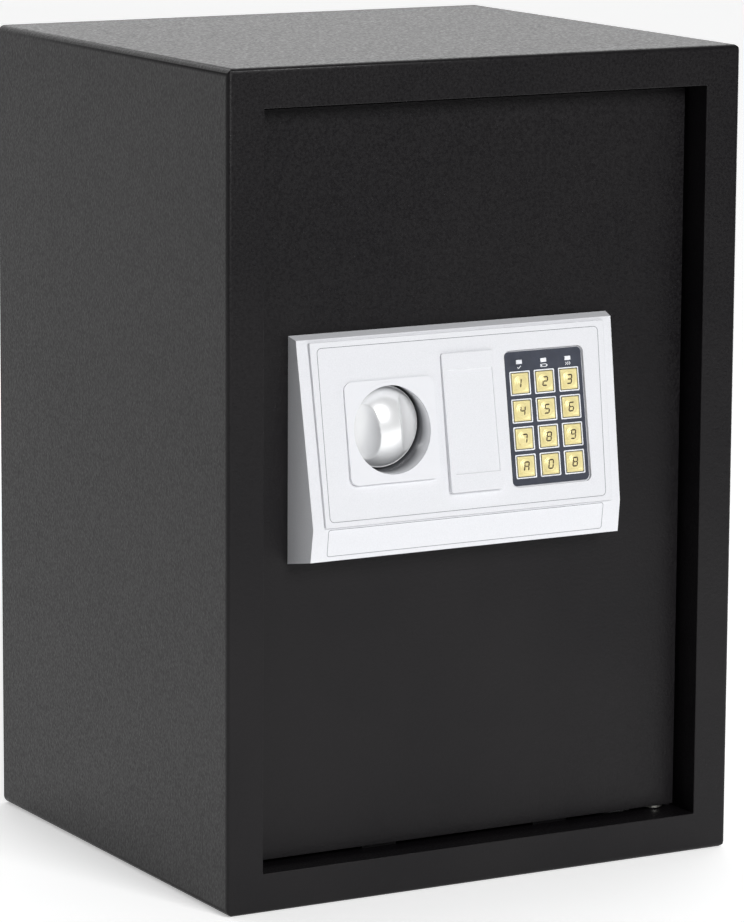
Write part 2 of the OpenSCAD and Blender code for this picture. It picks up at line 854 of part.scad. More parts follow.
// Tabs that hold the cover in the lock opening
module cover_tabs(h0, h1) {
    half_w = lock_hole_w / 2 - 0.5;
    for (s = [lock_hole_s0 + 1, lock_hole_s1 - 5])
        face_block(lock_x - half_w, lock_x + half_w, s, s + 4, h0, h1);
}

// Cover over the override lock, with a shallow field: it pulls straight off the sloped face
module key_cover() {
    x0 = lock_x - cover_w / 2;
    x1 = lock_x + cover_w / 2;
    color(silver_plastic) difference() {
        union() {
            raised_pad(x0, x1, cover_s0, cover_s1, cover_lean, cover_h, 1.5);
            cover_tabs(-2, face_plate_t + 0.5);
        }
        difference() {
            face_block(x0 - 5, x1 + 5, cover_s0 - 5, cover_s1 + 5, -3, face_plate_t);
            cover_tabs(-4, 3);
        }
        on_face() translate([0, 0, face_plate_t]) rotate([-cover_lean, 0, 0])
            block(x0 + 3.8, x1 - 1.5, -86.4, -24.6, cover_h - 0.6, cover_h + 2);
    }
}

// ---- Knob ----

// Base disc and dome, scooped on both sides of a grip that leans a little
module turn_knob() {
    back = door_front - 2.3;
    rim = back - 4;
    dome_base = knob_r - 0.7;
    dome_r = (dome_base * dome_base + knob_dome_h * knob_dome_h) / (2 * knob_dome_h);
    scoop_x = 23;
    scoop_y = rim - 0.05 - scoop_r;
    color(silver_plastic) difference() {
        union() {
            bar_y(knob_x, knob_z, knob_r, rim, back);
            difference() {
                intersection() {
                    translate([knob_x, rim - knob_dome_h + dome_r, knob_z]) sphere(dome_r);
                    bar_y(knob_x, knob_z, dome_base, rim - 20, rim + 1);
                }
                translate([knob_x, scoop_y, knob_z]) rotate([0, -grip_lean, 0])
                    for (side = [-1, 1])
                        translate([side * scoop_x, 0, -40]) cylinder(r = scoop_r, h = 80);
            }
        }
        bar_y(knob_x, knob_z, spindle_r, back - 8, back + 1);
    }
}

module knob_spindle() {
    color(satin_steel) bar_y(knob_x, knob_z, spindle_r, door_front - 10.3, crank_y + crank_t);
}

// Crank on the spindle's inner end, with the pin that drives the carriage
module crank_plate() {
    color(zinc) {
        translate([knob_x, crank_y + crank_t, knob_z]) rotate([90, 0, 0])
            linear_extrude(crank_t) difference() {
                union() {
                    circle(9);
                    rotate(45) translate([0, -crank_arm_w / 2]) square([crank_r, crank_arm_w]);
                    rotate(45) translate([crank_r, 0]) circle(crank_arm_w / 2);
                }
                circle(spindle_r);
            }
        bar_y(pin_x, pin_z, crank_pin_r, crank_y + crank_t, plate_y + plate_t + 3);
    }
}

module spindle_clip() {
    y = door_back + 4.4;
    color(satin_steel) difference() {
        bar_y(knob_x, knob_z, 7, y, y + 1);
        bar_y(knob_x, knob_z, spindle_r, y - 1, y + 2);
        block(knob_x - 1.5, knob_x + 1.5, y - 1, y + 2, knob_z - 8, knob_z);
    }
}

// ---- Bolts ----

// A slot for a post that stays still while the carriage moves by the bolt throw
module travel_slot(p) {
    r = post_r + 0.2;
    slot_y0 = plate_y - 1;
    slot_y1 = plate_y + plate_t + 1;
    bar_y(p[0], p[1], r, slot_y0, slot_y1);
    bar_y(p[0] + bolt_throw, p[1], r, slot_y0, slot_y1);
    block(p[0], p[0] + bolt_throw, slot_y0, slot_y1, p[1] - r, p[1] + r);
}

module bolt_carriage() {
    x1 = -24;
    high_z = knob_z + crank_r;
    color(zinc) difference() {
        union() {
            block(bolt_root_x, x1, plate_y, plate_y + plate_t, knob_z - 44, plate_top_z);
            block(bolt_root_x, bolt_root_x + plate_t, bolt_y - 10, plate_y + plate_t,
                  knob_z - bolt_offset - 12, knob_z + bolt_offset + 12);
        }
        block(pin_x - crank_pin_r - slot_clear, pin_x + crank_pin_r + slot_clear,
              plate_y - 1, plate_y + plate_t + 1,
              pin_z - crank_pin_r - slot_clear, high_z + crank_pin_r + slot_clear);
        for (p = guide_posts) travel_slot(p);
        block(plunger_x - notch_w / 2, plunger_x + notch_w / 2, plate_y - 1,
              plate_y + plate_t + 1, plate_top_z - notch_d, plate_top_z + 1);
        block(plunger_x + bolt_throw - notch_w / 2, plunger_x + bolt_throw + notch_w / 2,
              plate_y - 1, plate_y + plate_t + 1, plate_top_z - notch_d, plate_top_z + 1);
        for (z = bolt_zs)
            bar_x(bolt_y, z, 2.5, bolt_root_x - 1, bolt_root_x + plate_t + 1);
    }
}

// Two round bolts with chamfered tips, tapped at the root end
module locking_bolts() {
    color(satin_steel) for (z = bolt_zs) difference() {
        translate([bolt_tip_x, bolt_y, z]) rotate([0, 90, 0]) rotate_extrude()
            polygon([[0, 0], [bolt_r - 1.5, 0], [bolt_r, 1.5],
                     [bolt_r, bolt_root_x - bolt_tip_x], [0, bolt_root_x - bolt_tip_x]]);
        bar_x(bolt_y, z, 2.5, bolt_root_x - 14, bolt_root_x + 1);
    }
}

module bolt_screws() {
    color(zinc) for (z = bolt_zs) {
        bar_x(bolt_y, z, 2.5, bolt_root_x - 12, bolt_root_x + plate_t + 1);
        bar_x(bolt_y, z, 4.5, bolt_root_x + plate_t, bolt_root_x + plate_t + 3);
    }
}

// ---- Back of the door ----

// Pan that covers the mechanism, with ears for its screws
module door_back_cover() {
    color(powder_black) difference() {
        union() {
            block(cover_x0, cover_x1, door_back, cover_back, cover_z0, cover_z1);
            for (z = cover_screw_z) {
                block(cover_x0 - ear + 4, cover_x0 + 1, door_back, door_back + cover_t, z - 8, z + 8);
                block(cover_x1 - 1, cover_x1 + ear, door_back, door_back + cover_t, z - 8, z + 8);
            }
        }
        block(cover_x0 + cover_t, cover_x1 - cover_t, door_back - 1, cover_back - cover_t,
              cover_z0 + cover_t, cover_z1 - cover_t);
        for (z = bolt_zs)
            bar_x(bolt_y, z, bolt_r + 1, cover_x0 - 1, cover_x0 + cover_t + 1);
        block(box_x0, box_x1, cover_back - 5, cover_back + 1, box_z0, box_z1);
        bar_y(reset_x, reset_z, 4.7, cover_back - 5, cover_back + 1);
        for (x = cover_screw_x, z = cover_screw_z)
            bar_y(x, z, 2.1, door_back - 1, door_back + cover_t + 1);
    }
}

module cover_screws() {
    color(zinc) for (x = cover_screw_x, z = cover_screw_z) {
        bar_y(x, z, 2, door_back - 2.5, door_back + cover_t + 1);
        bar_y(x, z, 3.2, door_back + cover_t, door_back + cover_t + 2);
    }
}

// Open tray for four cells, with a flange on the outside of the cover
module battery_box() {
    color("#2d2d30") difference() {
        union() {
            block(box_x0, box_x1, box_front, cover_back, box_z0, box_z1);
            block(box_x0 - 3, box_x1 + 3, cover_back, cover_back + 1, box_z0 - 3, box_z1 + 3);
        }
        block(box_x0 + box_t, box_x1 - box_t, box_front + box_t, cover_back + 2,
              box_z0 + box_t, box_z1 - box_t);
    }
}

// A spring plate at each end of every cell
module battery_contacts() {
    gap = (box_x1 - box_x0 - 2 * box_t - cell_len) / 2;
    color(satin_steel) for (z = cell_zs) {
        block(box_x0 + box_t, cell_x - cell_len / 2, cell_y - 3, cell_y + 3, z - 3, z + 3);
        block(cell_x + cell_len / 2, cell_x + cell_len / 2 + gap, cell_y - 3, cell_y + 3,
              z - 3, z + 3);
    }
}

module batteries() {
    nub = 1.2;
    color("#39424c") for (i = [0:3]) {
        turn = i % 2 == 0 ? 1 : -1;
        flat_end = cell_x - turn * cell_len / 2;
        top_end = cell_x + turn * (cell_len / 2 - nub);
        bar_x(cell_y, cell_zs[i], cell_r, min(flat_end, top_end), max(flat_end, top_end));
        bar_x(cell_y, cell_zs[i], 2.7, min(top_end, top_end + turn * nub),
              max(top_end, top_end + turn * nub));
    }
}

module battery_lid() {
    y0 = cover_back + 1;
    color("#2d2d30") difference() {
        union() {
            block(box_x0 - 1, box_x1 + 1, y0, y0 + 2, box_z0 - 1, box_z1 + 1);
            for (x = [box_x0 + box_t + 4, box_x1 - box_t - 10])
                block(x, x + 6, y0 - 3, y0 + 1, box_z0 + box_t + 0.2, box_z0 + box_t + 1.7);
        }
        block(cell_x - 9, cell_x + 9, y0 + 1, y0 + 3, box_z1 - 6, box_z1 - 2);
    }
}

// Red button beside the hinge side of the cover, with a stem to its switch
module reset_button() {
    inner = cover_back - cover_t;
    color("#b3262a") {
        bar_y(reset_x, reset_z, 4.5, inner - 1.5, cover_back + 2.5);
        bar_y(reset_x, reset_z, 6, inner - 1.5, inner - 0.1);
        bar_y(reset_x, reset_z, 2, reset_switch_y + reset_travel + 0.2, inner - 1);
    }
}

body_shell();
back_panel();
bolt_keeper();
door_stops();
hinge_brackets();
hinge_pins();
hinge_washers();
shelf();
shelf_brackets();
floor_mat();
door_plate();
hinge_lugs();
bolt_guide();
guide_screws();
spindle_bush();
panel_housing();
face_plate();
knob_escutcheon();
keypad_bezel();
led_lenses();
keypad_board();
key_switches();
panel_screws();
wiring();
control_board();
solenoid_frame();
solenoid_coil();
solenoid_spring();
override_lock_body();
lock_nut();
door_back_cover();
cover_screws();
battery_box();
battery_contacts();
batteries();
turn_knob();
knob_spindle();
crank_plate();
spindle_clip();
bolt_carriage();
locking_bolts();
bolt_screws();
solenoid_plunger();
lock_barrel();
lock_cam();
key_cover();
battery_lid();
reset_button();
for (i = [0:11])
    key(i);
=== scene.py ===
"""Looks of the security safe: finishes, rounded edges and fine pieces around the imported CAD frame.

Everything is in metres, in the frame of the CAD model: +Z is up and the front faces -Y.
"""

import json
import math

import bmesh
import bpy
import numpy as np
from mathutils import Matrix, Vector


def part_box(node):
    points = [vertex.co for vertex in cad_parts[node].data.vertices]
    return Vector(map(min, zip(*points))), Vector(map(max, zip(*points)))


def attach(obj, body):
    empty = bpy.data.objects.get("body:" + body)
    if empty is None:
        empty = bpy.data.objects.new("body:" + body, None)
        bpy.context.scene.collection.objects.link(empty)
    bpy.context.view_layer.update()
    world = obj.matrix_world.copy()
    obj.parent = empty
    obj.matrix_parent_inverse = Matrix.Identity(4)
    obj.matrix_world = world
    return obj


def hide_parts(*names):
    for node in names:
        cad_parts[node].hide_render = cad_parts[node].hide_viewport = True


MM = 0.001
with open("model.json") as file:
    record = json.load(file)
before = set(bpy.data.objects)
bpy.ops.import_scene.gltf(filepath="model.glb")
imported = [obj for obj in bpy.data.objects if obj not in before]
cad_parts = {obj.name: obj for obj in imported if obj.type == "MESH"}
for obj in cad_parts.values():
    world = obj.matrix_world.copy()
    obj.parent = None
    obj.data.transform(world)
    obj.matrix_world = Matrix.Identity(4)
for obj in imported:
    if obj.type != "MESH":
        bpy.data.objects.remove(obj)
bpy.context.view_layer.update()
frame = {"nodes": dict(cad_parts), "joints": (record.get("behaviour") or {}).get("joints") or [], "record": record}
nodes = frame["nodes"]
joints = {j["name"]: j for j in frame["joints"]}


# ---------------------------------------------------------------- finishes


def linear(r, g, b):
    """A screen colour, 0 to 255, as linear light."""
    return [((c / 255 + 0.055) / 1.055) ** 2.4 if c > 10 else c / 255 / 12.92 for c in (r, g, b)]


class Finish:
    """A principled material built up from procedural textures in the frame's own metres."""

    def __init__(self, name, color, roughness, metallic=0.0, **sockets):
        self.material = bpy.data.materials.new(name)
        self.material.use_nodes = True
        self.nodes = self.material.node_tree.nodes
        self.links = self.material.node_tree.links
        self.shader = self.nodes["Principled BSDF"]
        self.shader.inputs["Base Color"].default_value = (*color, 1)
        self.shader.inputs["Roughness"].default_value = roughness
        self.shader.inputs["Metallic"].default_value = metallic
        for socket, value in sockets.items():
            self.shader.inputs[socket.replace("_", " ")].default_value = value
        self.place = self.nodes.new("ShaderNodeTexCoord").outputs["Object"]
        self.normal = None

    def stretched(self, factors):
        """The place, scaled by a factor along each axis."""
        mapping = self.nodes.new("ShaderNodeMapping")
        mapping.inputs["Scale"].default_value = factors
        self.links.new(self.place, mapping.inputs["Vector"])
        return mapping.outputs["Vector"]

    def noise(self, size, detail=2.0, place=None):
        """Soft noise whose grains are about the given size in metres."""
        texture = self.nodes.new("ShaderNodeTexNoise")
        texture.inputs["Scale"].default_value = 1 / size
        texture.inputs["Detail"].default_value = detail
        self.links.new(place or self.place, texture.inputs["Vector"])
        return texture.outputs["Fac"]

    def spread(self, value, low, high, start=0.35, stop=0.65):
        """A value that runs from low to high as the input goes from start to stop."""
        node = self.nodes.new("ShaderNodeMapRange")
        node.inputs["From Min"].default_value = start
        node.inputs["From Max"].default_value = stop
        node.inputs["To Min"].default_value = low
        node.inputs["To Max"].default_value = high
        self.links.new(value, node.inputs["Value"])
        return node.outputs["Result"]

    def tint(self, value, first, second):
        """Base colour that runs between two colours."""
        mix = self.nodes.new("ShaderNodeMix")
        mix.data_type = "RGBA"
        self.links.new(value, mix.inputs["Factor"])
        mix.inputs["A"].default_value = (*first, 1)
        mix.inputs["B"].default_value = (*second, 1)
        self.links.new(mix.outputs["Result"], self.shader.inputs["Base Color"])

    def roughen(self, value):
        """Roughness that follows a value."""
        self.links.new(value, self.shader.inputs["Roughness"])

    def bump(self, height, depth, strength=1.0):
        """Relief of about the given depth in metres, added to any relief before it."""
        node = self.nodes.new("ShaderNodeBump")
        node.inputs["Strength"].default_value = strength
        node.inputs["Distance"].default_value = depth
        self.links.new(height, node.inputs["Height"])
        if self.normal:
            self.links.new(self.normal, node.inputs["Normal"])
        self.normal = node.outputs["Normal"]
        self.links.new(self.normal, self.shader.inputs["Normal"])


def powder_coat():
    """Black textured powder coat: a fine orange peel with tiny nibs."""
    f = Finish("powder_coat", linear(15, 13, 15), 0.5, Specular_IOR_Level=0.26)
    f.tint(f.spread(f.noise(0.09, 4), 0, 1), linear(12, 10, 13), linear(18, 16, 18))
    f.roughen(f.spread(f.noise(0.0016, 3), 0.33, 0.5))
    f.bump(f.noise(0.0019, 2), 0.00015)
    f.bump(f.noise(0.0007, 2), 0.00005)
    return f.material


def satin_plastic(name, color, roughness, metallic):
    """Satin silver paint on moulded plastic, with faint flakes."""
    f = Finish(name, color, roughness, metallic)
    f.tint(f.spread(f.noise(0.0006, 2), 0, 1), [c * 0.94 for c in color], color)
    f.roughen(f.spread(f.noise(0.004, 3), roughness * 0.92, roughness * 1.15))
    f.bump(f.noise(0.0004, 1), 0.000004)
    return f.material


def plastic_with_painted_cup_shade(name, color, painted_shade_color):
    """Silver plastic with painted shade: it runs to a deep grey in the recessed parts behind the sloped face,
    inside the knob cup.
    """
    f = Finish(name, color, 0.36)
    height = f.nodes.new("ShaderNodeVectorMath")
    height.operation = "DOT_PRODUCT"
    f.links.new(f.place, height.inputs[0])
    height.inputs[1].default_value = face.out
    top = face.span("face_plate")[1][2]
    # Painted shade: silver at the face, darkening to deep grey about 9 mm below it, standing in for the shadow
    # inside the cup
    f.tint(f.spread(height.outputs["Value"], 0, 1, top - 9 * MM, top - 0.5 * MM), painted_shade_color, color)
    f.roughen(f.spread(f.noise(0.004, 3), 0.33, 0.42))
    f.bump(f.noise(0.0004, 1), 0.000004)
    return f.material


def polished_plating(name, color, roughness, metallic):
    """Smooth bright plating on plastic, with only the faintest haze."""
    f = Finish(name, color, roughness, metallic)
    f.tint(f.noise(0.02, 1), [c * 0.97 for c in color], color)
    f.roughen(f.spread(f.noise(0.012, 1), roughness * 0.95, roughness * 1.05))
    return f.material


def turned_metal(name, color, roughness, along, metallic=1.0):
    """Bare or plated metal with fine lines along one axis."""
    f = Finish(name, color, roughness, metallic)
    stretch = [1, 1, 1]
    stretch["XYZ".index(along)] = 0.03
    lines = f.noise(0.0004, 3, f.stretched(stretch))
    f.roughen(f.spread(lines, roughness * 0.8, roughness * 1.25))
    f.bump(lines, 0.00001)
    return f.material


def plain_plastic(name, color, roughness, grain=0.0008, depth=0.00003):
    """Moulded plastic with a light spark-eroded grain."""
    f = Finish(name, color, roughness)
    low = [c * 0.88 for c in color]
    high = [min(1, c * 1.1) for c in color]
    f.tint(f.spread(f.noise(0.01, 3), 0, 1), low, high)
    f.roughen(f.spread(f.noise(0.003, 2), roughness * 0.9, roughness * 1.12))
    f.bump(f.noise(grain, 2), depth)
    return f.material


def needle_felt():
    """Grey felt with a visible lie to its fibres."""
    f = Finish("felt", linear(62, 62, 66), 0.95, Sheen_Weight=0.35)
    fibres = f.noise(0.0012, 6, f.stretched((1, 2.5, 1)))
    f.tint(f.spread(fibres, 0, 1), linear(44, 44, 48), linear(84, 84, 88))
    f.bump(fibres, 0.0006)
    return f.material


def make_finishes():
    """Every finish by name: the record's slots, and a few of the looks' own."""
    return {
        "powder_coat": powder_coat(),
        "felt": needle_felt(),
        "plated_steel": turned_metal("plated_steel", linear(176, 176, 170), 0.42, "Z"),
        "bright_steel": turned_metal("bright_steel", linear(200, 202, 206), 0.26, "X"),
        "bush_brass": turned_metal("bush_brass", linear(214, 180, 110), 0.3, "Y"),
        "silver_plastic": satin_plastic("silver_plastic", linear(228, 229, 233), 0.36, 0.0),
        "satin_chrome": polished_plating("satin_chrome", linear(250, 251, 252), 0.26, 0.36),
        # Silver for the knob cup, with painted shade in its recess
        "cup_silver_painted_shade": plastic_with_painted_cup_shade("cup_silver_painted_shade", linear(228, 229, 233), linear(92, 93, 97)),
        "keypad_blue": plain_plastic("keypad_blue", linear(58, 62, 74), 0.38),
        "lens_white": plain_plastic("lens_white", linear(238, 240, 246), 0.25, depth=0.000005),
        "board_green": plain_plastic("board_green", linear(28, 94, 52), 0.3),
        "switch_black": plain_plastic("switch_black", linear(34, 34, 38), 0.45),
        "lead_grey": plain_plastic("lead_grey", linear(150, 150, 156), 0.5),
        "coil_copper": turned_metal("coil_copper", linear(196, 112, 60), 0.3, "X"),
        "black_plastic": plain_plastic("black_plastic", linear(36, 36, 39), 0.5),
        "cell_wrap": plain_plastic("cell_wrap", linear(46, 60, 84), 0.3, depth=0.000008),
        "red_plastic": plain_plastic("red_plastic", linear(188, 34, 38), 0.35),
        "gold_key": satin_plastic("gold_key", linear(242, 228, 166), 0.34, 0.25),
        "white_ink": plain_plastic("white_ink", linear(236, 238, 242), 0.5, depth=0.000004),
        "brown_ink": plain_plastic("brown_ink", linear(58, 40, 18), 0.6, depth=0.000004),
        # Grey of the painted shade in the scribed lines
        "groove_painted_shade_grey": plain_plastic("groove_painted_shade_grey", linear(120, 122, 128), 0.6, depth=0.000004),
    }


def dress_nodes(finishes):
    """Gives every CAD node the finish of its slot in the record, or one of its own."""
    # The knob escutcheon takes the silver whose cup is painted with shade
    special = {"knob_escutcheon": "cup_silver_painted_shade"}
    for row in frame["record"]["subparts"]:
        mesh = nodes[row["node"]].data
        mesh.materials.clear()
        mesh.materials.append(finishes[special.get(row["node"], row["material_slot"])])


# ---------------------------------------------------------------- shapes


class Plane:
    """Axes on a flat face of the panel: x across, u up the slope, h out of it."""

    def __init__(self, out):
        self.out = Vector(out).normalized()
        self.up = self.out.cross(Vector((1, 0, 0)))
        if self.up.z < 0:
            self.up = -self.up

    def point(self, x, u, h):
        """The point of the frame at x, u and h."""
        return Vector((x, 0, 0)) + self.up * float(u) + self.out * float(h)

    def local(self, points):
        """The x, u and h of points given in the frame."""
        return np.array(points) @ np.array([(1, 0, 0), self.up, self.out]).T

    def span(self, node):
        """Lowest and highest x, u and h of a CAD node."""
        local = self.local([v.co for v in nodes[node].data.vertices])
        return local.min(0), local.max(0)


class Shape:
    """Points and faces gathered up for one mesh."""

    def __init__(self):
        self.points = []
        self.faces = []

    def loft(self, rings, cyclic=False, cap=True):
        """Skins a row of rings that have the same number of points each."""
        start = len(self.points)
        size = len(rings[0])
        for ring in rings:
            self.points += ring
        for i in range(len(rings) if cyclic else len(rings) - 1):
            a = start + i * size
            b = start + (i + 1) % len(rings) * size
            for k in range(size):
                m = (k + 1) % size
                self.faces.append((a + k, a + m, b + m, b + k))
        if cap and not cyclic:
            self.faces.append(tuple(range(start + size - 1, start - 1, -1)))
            last = start + (len(rings) - 1) * size
            self.faces.append(tuple(range(last, last + size)))
        return self

    def mesh(self, name, angle=30):
        """The mesh, with its normals outwards and its edges sharp above an angle."""
        mesh = bpy.data.meshes.new(name)
        mesh.from_pydata(self.points, [], self.faces)
        work = bmesh.new()
        work.from_mesh(mesh)
        bmesh.ops.recalc_face_normals(work, faces=work.faces)
        work.to_mesh(mesh)
        work.free()
        shade(mesh, angle)
        return mesh


def shade(mesh, angle):
    """Smooth shading, with edges sharp above an angle in degrees."""
    mesh.polygons.foreach_set("use_smooth", [True] * len(mesh.polygons))
    mesh.set_sharp_from_angle(angle=math.radians(angle))


def add_piece(name, mesh, body, finish, replaces=()):
    """Puts a mesh in the scene, riding on a body."""
    piece = bpy.data.objects.new(name, mesh)
    bpy.context.scene.collection.objects.link(piece)
    mesh.materials.clear()
    mesh.materials.append(finishes[finish])
    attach(piece, body)
    if replaces:
        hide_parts(*replaces)
    return piece


def rounded(w, h, r, steps=5):
    """Outline of a round-cornered rectangle round the origin."""
    outline = []
    for cx, cy, start in ((1, 1, 0), (-1, 1, 90), (-1, -1, 180), (1, -1, 270)):
        for k in range(steps + 1):
            a = math.radians(start + 90 * k / steps)
            outline.append((cx * (w / 2 - r) + r * math.cos(a), cy * (h / 2 - r) + r * math.sin(a)))
    return outline


def round_corners(corners, r, steps=5):
    """Outline of a convex polygon, given anticlockwise, with its corners rounded."""
    outline = []
    for i, here in enumerate(corners):
        here = Vector(here)
        back = (Vector(corners[i - 1]) - here).normalized()
        ahead = (Vector(corners[(i + 1) % len(corners)]) - here).normalized()
        half = back.angle(ahead) / 2
        centre = here + (back + ahead).normalized() * (r / math.sin(half))
        first = here + back * (r / math.tan(half)) - centre
        turn = math.pi - 2 * half
        for k in range(steps + 1):
            outline.append(tuple(centre + Matrix.Rotation(turn * k / steps, 2) @ first))
    return outline


def circle(r, count=48):
    """Outline of a circle round the origin."""
    return [(r * math.cos(2 * math.pi * k / count), r * math.sin(2 * math.pi * k / count))
            for k in range(count)]


def grown(outline, amount):
    """A convex outline, given anticlockwise, moved outwards by an amount."""
    result = []
    for i, here in enumerate(outline):
        back = Vector(here) - Vector(outline[i - 1])
        ahead = Vector(outline[(i + 1) % len(outline)]) - Vector(here)
        side = (back.normalized() + ahead.normalized()).normalized()
        result.append((here[0] + amount * side.y, here[1] - amount * side.x))
    return result


def raised(plane, outline, x, u, h):
    """An outline set on a plane round the point x, u at height h."""
    return [plane.point(x + px, u + py, h) for px, py in outline]


def slab(shape, plane, outline, x, u, h0, h1):
    """An outline set round the point x, u and raised from h0 to h1."""
    shape.loft([raised(plane, outline, x, u, h) for h in (h0, h1)])


def band(shape, plane, outer, inner, x, u, h0, h1):
    """A frame between two outlines that have the same number of points."""
    shape.loft([raised(plane, ring, x, u, h)
                for ring, h in ((outer, h0), (outer, h1), (inner, h1), (inner, h0))], cyclic=True)


def bar(shape, plane, path, width, h0, h1):
    """A flat stroke along two points on a plane, as a prism from h0 to h1."""
    (x0, u0), (x1, u1) = path
    along = Vector((x1 - x0, u1 - u0)).normalized() * (width / 2)
    side = Vector((-along.y, along.x))
    corners = [Vector((x0, u0)) - side, Vector((x1, u1)) - side, Vector((x1, u1)) + along,
               Vector((x1, u1)) + side, Vector((x0, u0)) + side, Vector((x0, u0)) - along]
    shape.loft([[plane.point(*c, h) for c in corners] for h in (h0, h1)])


def soften(node, width, segments=2, angle=40):
    """Rounds the sharp edges of a CAD node without touching its mesh."""
    thing = nodes[node]
    thing.modifiers.new("weld", "WELD").merge_threshold = 0.00001
    flat = thing.modifiers.new("flat", "DECIMATE")
    flat.decimate_type = "DISSOLVE"
    flat.angle_limit = math.radians(0.5)
    bevel = thing.modifiers.new("bevel", "BEVEL")
    bevel.width = width
    bevel.segments = segments
    bevel.limit_method = "ANGLE"
    bevel.angle_limit = math.radians(angle)
    bevel.harden_normals = False
    for polygon in thing.data.polygons:
        polygon.use_smooth = True
    thing.modifiers.new("normals", "WEIGHTED_NORMAL").keep_sharp = False


def body_of(node):
    """The body that a CAD node belongs to."""
    return next(body for body, members in frame["record"]["behaviour"]["bodies"].items()
                if node in members)


# ---------------------------------------------------------------- control panel

face = Plane(joints["cover_pull"]["axis"])
# Both ends of each segment of a digit, on a grid one cell wide and two tall
SEGMENT_ENDS = {
    "a": ((0, 2), (1, 2)), "b": ((1, 2), (1, 1)), "c": ((1, 1), (1, 0)), "d": ((0, 0), (1, 0)),
    "e": ((0, 1), (0, 0)), "f": ((0, 2), (0, 1)), "g": ((0, 1), (1, 1)),
}
# Segments that make up the legend of each key
KEY_SEGMENTS = {
    "key_1": "bc", "key_2": "abged", "key_3": "abgcd", "key_4": "fgbc", "key_5": "afgcd",
    "key_6": "afgedc", "key_7": "abc", "key_8": "abcdefg", "key_9": "abcdfg", "key_a": "abcefg",
    "key_0": "abcdef", "key_b": "abcdefg",
}


def scribe(name, plane, corners, radius, top):
    """A scribed line along a round-cornered outline: a dark grey band of painted shade standing in for a groove,
    with a lower lip in silver.
    """
    width, under, over = 0.34 * MM, 0.1 * MM, 0.02 * MM
    outline = round_corners(corners, radius)
    # Painted shade: the groove is a thin grey band on the face, not a cut; the lip beside it is plain silver
    for part, finish, start in (("groove", "groove_painted_shade_grey", 0), ("lip", "silver_plastic", width)):
        line = Shape()
        band(line, plane, grown(outline, -start), grown(outline, -start - width), 0, 0,
             top - under, top + over)
        add_piece(f"{name}_{part}", line.mesh(name), "door", finish)


def scribe_face_plate():
    """The line that runs round the face plate, a little inside its edge."""
    local = face.local([v.co for v in nodes["face_plate"].data.vertices])
    low, high = local.min(0), local.max(0)
    upper = local[local[:, 1] > high[1] - 0.5 * MM][:, 0]
    lower = local[local[:, 1] < low[1] + 0.5 * MM][:, 0]
    bottom, top = low[1] + 3 * MM, high[1] - 3.3 * MM
    corners = [(lower.min() + 2.8 * MM, bottom), (lower.max() - 4.3 * MM, bottom),
               (upper.max() - 4.3 * MM, top), (upper.min() + 4.5 * MM, top)]
    scribe("face_line", face, corners, 3 * MM, high[2])


def scribe_strip():
    """The line that frames the narrow strip below the knee of the panel."""
    corners = np.array([v.co for v in nodes["panel_housing"].data.vertices])
    knee = corners[corners[:, 1].argmin()]
    below = corners[corners[:, 2] < knee[2] - 15 * MM]
    nose = below[below[:, 1].argmin()]
    rise = Vector((0, knee[1] - nose[1], knee[2] - nose[2])).normalized()
    strip = Plane((0, -rise.z, rise.y))
    _, knee_u, knee_h = strip.local([knee])[0]
    plate_low, plate_high = face.span("face_plate")
    left, right = plate_low[0] + 5 * MM, plate_high[0] - 7.5 * MM
    top, bottom = knee_u - 0.8 * MM, knee_u - 17.3 * MM
    scribe("strip_line", strip, [(left, bottom), (right, bottom), (right, top), (left, top)],
           1.5 * MM, knee_h)


def make_knob():
    """Base disc and dome with a leaning grip between two smooth scoops."""
    low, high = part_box("turn_knob")
    centre = (low + high) / 2
    radius = (high.x - low.x) / 2
    disc = 4 * MM
    rim_y = high.y - disc
    crest = rim_y - low.y
    base = radius - 0.7 * MM
    ball = (base ** 2 + crest ** 2) / (2 * crest)
    lean = math.radians(7.5)
    scoop_r, scoop_x, blend = 17 * MM, 23 * MM, 0.16 * MM

    def height(x, z):
        """Height of the dome above the disc, with both scoops taken out of it."""
        dome = math.sqrt(ball ** 2 - x * x - z * z) - ball + crest
        across = abs(x * math.cos(lean) + z * math.sin(lean))
        inside = scoop_r ** 2 - (scoop_x - across) ** 2
        scoop = scoop_r + 0.05 * MM - math.sqrt(inside) if inside > 0 else 1
        return max(0, -blend * float(np.logaddexp(-dome / blend, -scoop / blend)))

    count, dome_rings = 200, 70
    rings = []
    for step in range(1, dome_rings + 1):
        outline = circle(base * step / dome_rings, count)
        rings.append([(centre.x + x, rim_y - height(x, z), centre.z + z) for x, z in outline])
    round_edge = 0.4 * MM
    for r, y in ((radius - round_edge, rim_y), (radius - 0.1 * MM, rim_y + 0.15 * MM),
                 (radius, rim_y + round_edge), (radius, high.y)):
        rings.append([(centre.x + x, y, centre.z + z) for x, z in circle(r, count)])
    mesh = Shape().loft(rings).mesh("knob_shell", 35)
    add_piece("knob_shell", mesh, "knob", "satin_chrome", ("turn_knob",))


def key_crown(r):
    """How far a key's round crown, with its fine rings, lies below its middle, at a radius."""
    fall, fall_r, ring_depth, ring_pitch = 0.26 * MM, 4.6 * MM, 0.05 * MM, 1.1 * MM
    ripple = ring_depth * math.cos(2 * math.pi * r / ring_pitch)
    return fall * (r / fall_r) ** 2 - ripple + ring_depth


